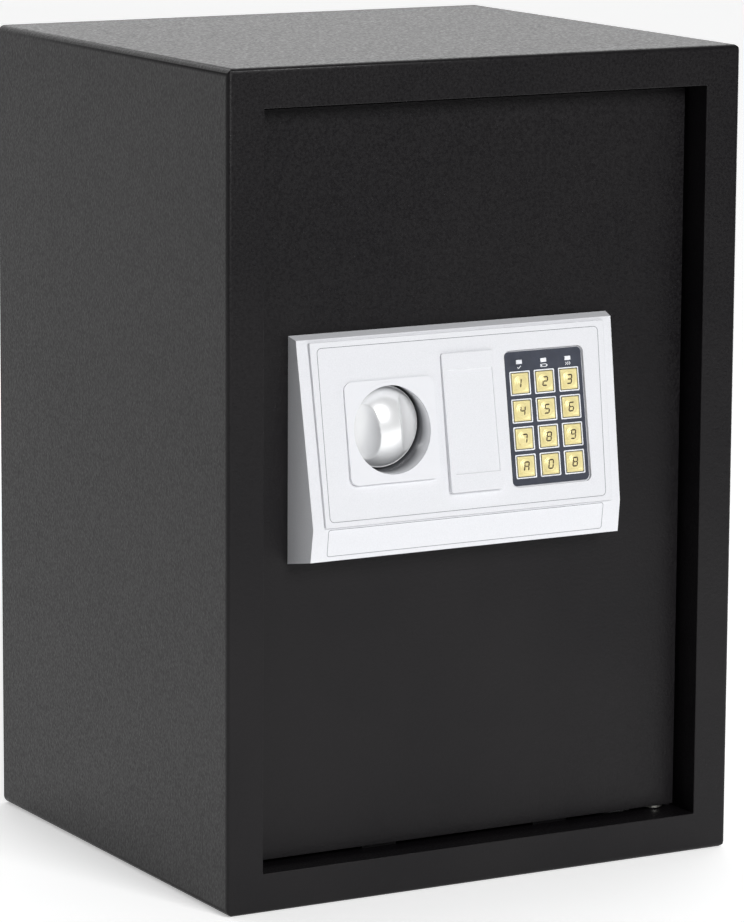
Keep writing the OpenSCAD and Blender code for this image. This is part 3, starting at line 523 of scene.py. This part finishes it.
def make_key(node):
    """A key: stem, flange, square cap and round crown, with its legend on top."""
    low, high = face.span(node)
    x, u, top = (low[0] + high[0]) / 2, (low[1] + high[1]) / 2, high[2] - 0.05 * MM
    flange_w, flange_h = high[0] - low[0], high[1] - low[1]
    flange_step = 2.4 * MM
    w, h = flange_w - flange_step, flange_h - flange_step
    shape = Shape()
    slab(shape, face, circle(1.5 * MM, 24), x, u, low[2], top - 2.4 * MM)
    slab(shape, face, rounded(flange_w, flange_h, 0.5 * MM), x, u, top - 2.65 * MM, top - 1.9 * MM)
    # How far in from the sides and down from the top each ring of the cap lies, in millimetres
    steps = ((0, 2.2), (0, 0.8), (0.12, 0.62), (0.3, 0.52), (0.9, 0.5), (1.05, 0.56))
    shape.loft([raised(face, rounded(w - 2 * inset * MM, h - 2 * inset * MM, 0.6 * MM), x, u,
                       top - drop * MM) for inset, drop in steps])
    crown_r, crown_rings = 4.7 * MM, 22
    radii = [crown_r * (1 - k / crown_rings) for k in range(crown_rings)]
    crown = [raised(face, circle(radii[0]), x, u, top - 0.6 * MM)]
    crown += [raised(face, circle(r), x, u, top - key_crown(r)) for r in radii]
    shape.loft(crown)
    body = body_of(node)
    add_piece(node + "_cap", shape.mesh(node + "_cap", 40), body, "gold_key", (node,))
    add_piece(node + "_legend", legend(node, x, u, top), body, "brown_ink")


def legend(node, x, u, top):
    """Slanted seven-segment legend that follows the crown of a key."""
    wide, half_tall, slant, stroke, gap = 2.9 * MM, 2.55 * MM, 0.16, 0.82 * MM, 0.03
    middle = 1 if node == "key_1" else 0.5
    shape = Shape()
    for name in KEY_SEGMENTS[node]:
        ends = []
        for i, j in SEGMENT_ENDS[name]:
            v = (j - 1) * half_tall
            ends.append(Vector(((i - middle) * wide + slant * v, v)))
        first, last = ends[0].lerp(ends[1], gap), ends[1].lerp(ends[0], gap)
        along = (last - first).normalized()
        side = Vector((-along.y, along.x)) * stroke / 2
        rings = []
        for k in range(5):
            here = first.lerp(last, k / 4)
            half = side * (0.6 if k in (0, 4) else 1)
            drops = [top - key_crown((here + half * sign).length) for sign in (-1, 1)]
            corners = ((-1, -0.1 * MM), (-1, 0.05 * MM), (1, 0.05 * MM), (1, -0.1 * MM))
            rings.append([face.point(x + here.x + half.x * sign, u + here.y + half.y * sign,
                                     drops[(sign + 1) // 2] + lift) for sign, lift in corners])
        shape.loft(rings)
    return shape.mesh(node + "_legend")


def print_bezel():
    """White frames round the keys, and a small sign under each indicator."""
    top = face.span("keypad_bezel")[1][2]
    under, over = top - 0.05 * MM, top + 0.05 * MM
    frames = Shape()
    for node in KEY_SEGMENTS:
        first, last = face.span(node)
        x, u = (first[0] + last[0]) / 2, (first[1] + last[1]) / 2
        band(frames, face, rounded(14.2 * MM, 14.4 * MM, 0.7 * MM),
             rounded(12.7 * MM, 13 * MM, 0.4 * MM), x, u, under, over)
    add_piece("key_frames", frames.mesh("key_frames"), "door", "white_ink")
    columns = [sum(span[0] for span in face.span(node)) / 2 for node in ("key_1", "key_2", "key_3")]
    lens_low, lens_high = face.span("led_lenses")
    u = (lens_low[1] + lens_high[1]) / 2 - 3.2 * MM
    signs = Shape()
    stroke = 0.4 * MM
    tick = ((-1.2, 0), (-0.4, -0.7), (1.2, 0.8))
    for a, b in zip(tick, tick[1:]):
        bar(signs, face, [(columns[0] + p[0] * MM, u + p[1] * MM) for p in (a, b)],
            stroke, under, over)
    band(signs, face, rounded(4.4 * MM, 1.8 * MM, 0.2 * MM), rounded(3.8 * MM, 1.2 * MM, 0.1 * MM),
         columns[1], u, under, over)
    slab(signs, face, rounded(0.5 * MM, 0.8 * MM, 0.1 * MM), columns[1] + 2.5 * MM, u, under, over)
    slab(signs, face, rounded(0.8 * MM, 0.8 * MM, 0.1 * MM), columns[1] - 1.3 * MM, u, under, over)
    for k in (-1, 0, 1):
        tip = columns[2] + (k * 1.3 + 0.5) * MM
        for side in (-1, 1):
            bar(signs, face, [(tip - 0.8 * MM, u + side * 0.8 * MM), (tip, u)],
                stroke, under, over)
    add_piece("indicator_signs", signs.mesh("indicator_signs"), "door", "white_ink")


# ---------------------------------------------------------------- mechanism and electronics


def islands(node):
    """Lowest and highest corner of each separate solid of a CAD node."""
    work = bmesh.new()
    work.from_mesh(nodes[node].data)
    bmesh.ops.remove_doubles(work, verts=work.verts, dist=0.00001)
    work.verts.ensure_lookup_table()
    seen, found = set(), []
    for start in work.verts:
        if start in seen:
            continue
        seen.add(start)
        group, queue = [], [start]
        while queue:
            vert = queue.pop()
            group.append(vert.co[:])
            for edge in vert.link_edges:
                other = edge.other_vert(vert)
                if other not in seen:
                    seen.add(other)
                    queue.append(other)
        group = np.array(group)
        found.append((group.min(0), group.max(0)))
    work.free()
    return found


def cross_recess(node, plane, radius):
    """A dark cross of painted shade in the head of every screw of a node, on the side that the plane faces,
    standing in for the shade of a cross recess.
    """
    stroke, under, over = radius * 0.3, 0.1 * MM, 0.03 * MM
    crosses = Shape()
    for low, high in islands(node):
        corners = plane.local([low, high])
        x, u = corners[:, 0].mean(), corners[:, 1].mean()
        top = corners[:, 2].max()
        for dx, du in ((radius, 0), (0, radius)):
            bar(crosses, plane, [(x - dx, u - du), (x + dx, u + du)], stroke,
                top - under, top + over)
    # Painted shade: black crosses take the place of cut recesses, which the screws do not have
    add_piece(node + "_recess_painted_shade", crosses.mesh(node + "_recess_painted_shade"), body_of(node), "switch_black")


def wind_coil():
    """Copper turns between the two flanges of the solenoid's bobbin."""
    low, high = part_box("solenoid_coil")
    centre = (low + high) / 2
    outer = (high.x - low.x) / 2
    flange, turn, bore = 1.6 * MM, 0.9 * MM, outer - 6.2 * MM
    inset, ripple, steps = 0.9 * MM, 0.16 * MM, 6
    turns = int((high.z - low.z - 2 * flange) / turn)
    copper = Shape()
    rings = []
    for k in range(turns * steps + 1):
        r = outer - inset - ripple * math.cos(2 * math.pi * k / steps)
        rings.append([(centre.x + x, centre.y + y, low.z + flange + k * turn / steps)
                      for x, y in circle(r)])
    copper.loft(rings)
    add_piece("coil_turns", copper.mesh("coil_turns", 60), "door", "coil_copper",
              ("solenoid_coil",))
    bobbin = Shape()
    for z0, z1 in ((low.z, low.z + flange), (high.z - flange, high.z)):
        bobbin.loft([[(centre.x + x, centre.y + y, z) for x, y in circle(r)]
                     for r, z in ((bore, z0), (outer, z0), (outer, z1), (bore, z1))], cyclic=True)
    add_piece("coil_bobbin", bobbin.mesh("coil_bobbin"), "door", "black_plastic")


def fit_board_parts():
    """Bodies, leads and tops of the parts on the back of the control board."""
    back = Plane((0, 1, 0))
    low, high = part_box("control_board")
    top = max(v.co.y for v in nodes["control_board"].data.vertices
              if v.co.z > high.z - 10 * MM)
    case, metal, sleeve = Shape(), Shape(), Shape()

    def pad(shape, w, h, x, z, height, corner=0.1 * MM):
        """A flat block on the board, centred at x, z."""
        slab(shape, back, rounded(w, h, corner), x, z, top, top + height)

    chip_x, chip_z, chip_w, chip_h = low.x + 27 * MM, low.z + 35 * MM, 18 * MM, 2.5 * MM
    lead_w, lead_len, lead_pitch, leads = 0.5 * MM, 1.4 * MM, 1.4 * MM, 12
    pad(case, chip_w + 0.1 * MM, chip_w + 0.1 * MM, chip_x, chip_z, chip_h, 0.5 * MM)
    for k in range(leads):
        offset = (k - (leads - 1) / 2) * lead_pitch
        for side in (-1, 1):
            edge = side * (chip_w + lead_len) / 2
            pad(metal, lead_w, lead_len, chip_x + offset, chip_z + edge, 0.5 * MM)
            pad(metal, lead_len, lead_w, chip_x + edge, chip_z + offset, 0.5 * MM)

    buzzer_x, buzzer_z = high.x - 18 * MM, low.z + 16 * MM
    buzzer_r, hole_r, buzzer_h = 6.1 * MM, 1.2 * MM, 8.45 * MM
    profile = ((buzzer_r, 0), (buzzer_r, buzzer_h), (hole_r, buzzer_h),
               (hole_r, buzzer_h - 0.02 * MM))
    case.loft([raised(back, circle(r), buzzer_x, buzzer_z, top + h) for r, h in profile])

    can_h, vent_h = 7.3 * MM, 0.2 * MM
    for x in (low.x + 16 * MM, low.x + 24 * MM):
        z = low.z + 10 * MM
        slab(sleeve, back, circle(3.08 * MM), x, z, top, top + can_h)
        slab(metal, back, circle(2.6 * MM), x, z, top + can_h, top + can_h + vent_h)

    for row in range(2):
        for k in range(7):
            x = low.x + (8 + 3.2 * k) * MM
            z = low.z + (52 + 6 * row) * MM
            pad(case, 1.2 * MM, 2 * MM, x, z, 0.5 * MM)
            for end in (-1, 1):
                pad(metal, 1.2 * MM, 0.5 * MM, x, z + end * 1.1 * MM, 0.55 * MM)
    for name, shape, finish in (("board_cases", case, "switch_black"),
                                ("board_leads", metal, "plated_steel"),
                                ("capacitor_sleeves", sleeve, "cell_wrap")):
        add_piece(name, shape.mesh(name), "door", finish)


def sleeve_batteries():
    """A bright band and steel cups at the ends of each cell; the cells point each way by turns."""
    skin, cup, band_start, band_stop = 0.03 * MM, 1 * MM, 3 * MM, 17 * MM
    bands, cups = Shape(), Shape()
    for k, (low, high) in enumerate(islands("batteries")):
        y, z = (low[1] + high[1]) / 2, (low[2] + high[2]) / 2
        r = (high[2] - low[2]) / 2
        way = 1 if k % 2 else -1
        plus = high[0] if way > 0 else low[0]
        minus = low[0] if way > 0 else high[0]
        edge = plus - way * band_start
        for shape, start, stop in ((bands, plus - way * band_stop, edge),
                                   (cups, minus, minus + way * cup),
                                   (cups, edge, edge + way * cup)):
            shape.loft([[(x, y + b, z + a) for a, b in circle(r + skin)] for x in (start, stop)])
    add_piece("cell_bands", bands.mesh("cell_bands"), "door", "bush_brass")
    add_piece("cell_cups", cups.mesh("cell_cups"), "door", "bright_steel")


def rib_lid():
    """Finger ribs on the battery lid."""
    back = Plane((0, 1, 0))
    low, high = back.span("battery_lid")
    middle = (low + high) / 2
    first, pitch, count = 8 * MM, 2.4 * MM, 6
    ribs = Shape()
    for k in range(count):
        slab(ribs, back, rounded(20 * MM, 1.2 * MM, 0.5 * MM), middle[0],
             high[1] - first - pitch * k, high[2] - 0.2 * MM, high[2] + 0.5 * MM)
    add_piece("lid_ribs", ribs.mesh("lid_ribs"), "lid", "black_plastic")


# ---------------------------------------------------------------- setting


def place_camera():
    """The viewing angle: front left, a little above, from about three metres."""
    camera = bpy.data.objects.new("camera", bpy.data.cameras.new("camera"))
    bpy.context.scene.collection.objects.link(camera)
    forward = Vector((0.4828, 0.8571, -0.1795)).normalized()
    roll = math.radians(0.35)
    right = forward.cross(Vector((0, 0, 1))).normalized()
    up = right.cross(forward)
    right, up = (right * math.cos(roll) + up * math.sin(roll),
                 up * math.cos(roll) - right * math.sin(roll))
    turn = Matrix((right, up, -forward)).transposed().to_4x4()
    position = (-1.4307, -2.5543, 0.7678)
    camera.matrix_world = Matrix.Translation(position) @ turn
    camera.data.lens = 186.1
    camera.data.sensor_width = 36
    camera.data.clip_end = 100
    bpy.context.scene.camera = camera


def soft_box(name, position, target, size, power):
    """A rectangular area light that faces a target, with its power in watts."""
    light = bpy.data.lights.new(name, "AREA")
    light.shape = "RECTANGLE"
    light.size, light.size_y = size
    light.energy = power
    thing = bpy.data.objects.new(name, light)
    bpy.context.scene.collection.objects.link(thing)
    thing.location = position
    thing.rotation_euler = (Vector(target) - Vector(position)).to_track_quat("-Z", "Y").to_euler()


def light_scene():
    """Surroundings bright behind the safe and dim in front and at the left, and one key light."""
    world = bpy.data.worlds.new("studio")
    bpy.context.scene.world = world
    world.use_nodes = True
    tree = world.node_tree
    background = tree.nodes["Background"]
    place = tree.nodes.new("ShaderNodeTexCoord")
    axes = tree.nodes.new("ShaderNodeSeparateXYZ")
    tree.links.new(place.outputs["Generated"], axes.inputs["Vector"])

    def fade(axis, start, stop, low, high, curve):
        """Brightness that runs from low to high along one axis of the view direction."""
        node = tree.nodes.new("ShaderNodeMapRange")
        node.interpolation_type = curve
        for socket, value in (("From Min", start), ("From Max", stop),
                              ("To Min", low), ("To Max", high)):
            node.inputs[socket].default_value = value
        tree.links.new(axes.outputs[axis], node.inputs["Value"])
        return node.outputs["Result"]

    around = tree.nodes.new("ShaderNodeMath")
    around.operation = "MULTIPLY"
    tree.links.new(fade("Y", -0.3, 0.75, 0.08, 1.6, "SMOOTHSTEP"), around.inputs[0])
    tree.links.new(fade("X", -0.8, 0.1, 0.22, 1, "LINEAR"), around.inputs[1])
    rays = tree.nodes.new("ShaderNodeLightPath")
    seen = tree.nodes.new("ShaderNodeMix")
    tree.links.new(rays.outputs["Is Camera Ray"], seen.inputs["Factor"])
    tree.links.new(around.outputs["Value"], seen.inputs["A"])
    seen.inputs["B"].default_value = 1.0
    tree.links.new(seen.outputs["Result"], background.inputs["Strength"])
    background.inputs["Color"].default_value = (1, 1, 1, 1)
    middle, key_place, key_watts = (0, 0, 0.25), (0.3, -3.8, 2.2), 135
    soft_box("key_light", key_place, middle, (1.5, 1.5), key_watts)
    bpy.context.scene.view_settings.view_transform = "Standard"


def lay_floor():
    """A white floor that darkens well in front of the safe, where only the door reflects it, and that glows near
    the safe as painted light.
    """
    reach = 30
    white, dark, painted_floor_glow = 0.95, 0.1, 0.4
    dark_y, white_y = -1.9, -0.6
    corners = [(x, y, 0) for x in (-reach, reach) for y in (-reach, reach)]
    mesh = bpy.data.meshes.new("floor")
    mesh.from_pydata(corners, [], [(0, 2, 3, 1)])
    floor = bpy.data.objects.new("floor", mesh)
    bpy.context.scene.collection.objects.link(floor)
    f = Finish("floor", [white] * 3, 0.95)
    axes = f.nodes.new("ShaderNodeSeparateXYZ")
    f.links.new(f.place, axes.inputs["Vector"])
    near = f.spread(axes.outputs["Y"], 0, 1, dark_y, white_y)
    f.tint(near, [dark] * 3, [white] * 3)
    # Painted light: the floor near the safe glows with up to 0.4 emission, though it is no lamp
    f.shader.inputs["Emission Color"].default_value = (1, 1, 1, 1)
    f.links.new(f.spread(near, 0, painted_floor_glow, 0, 1), f.shader.inputs["Emission Strength"])
    floor.data.materials.append(f.material)


# Radius in millimetres of the rounded edges of each CAD node
EDGE_ROUNDING = {
    "body_shell": 1.4, "door_plate": 0.8, "panel_housing": 0.8, "face_plate": 0.4,
    "knob_escutcheon": 0.4, "key_cover": 0.4, "keypad_bezel": 0.2, "door_back_cover": 0.5,
    "battery_lid": 0.5, "battery_box": 0.3, "shelf": 0.5, "hinge_lugs": 0.4,
    "hinge_brackets": 0.4, "bolt_guide": 0.4, "bolt_carriage": 0.4, "crank_plate": 0.3,
    "lock_cam": 0.3, "bolt_keeper": 0.4, "door_stops": 0.4, "shelf_brackets": 0.4,
    "floor_mat": 0.8, "reset_button": 0.4, "lock_nut": 0.4, "solenoid_frame": 0.3,
    "locking_bolts": 0.4,
}

finishes = make_finishes()
dress_nodes(finishes)
for name, radius in EDGE_ROUNDING.items():
    soften(name, radius * MM)
scribe_face_plate()
scribe_strip()
make_knob()
for key in KEY_SEGMENTS:
    make_key(key)
print_bezel()
wind_coil()
fit_board_parts()
sleeve_batteries()
rib_lid()
cross_recess("cover_screws", Plane((0, 1, 0)), 2.2 * MM)
cross_recess("panel_screws", Plane((0, 1, 0)), 2 * MM)
place_camera()
light_scene()
lay_floor()
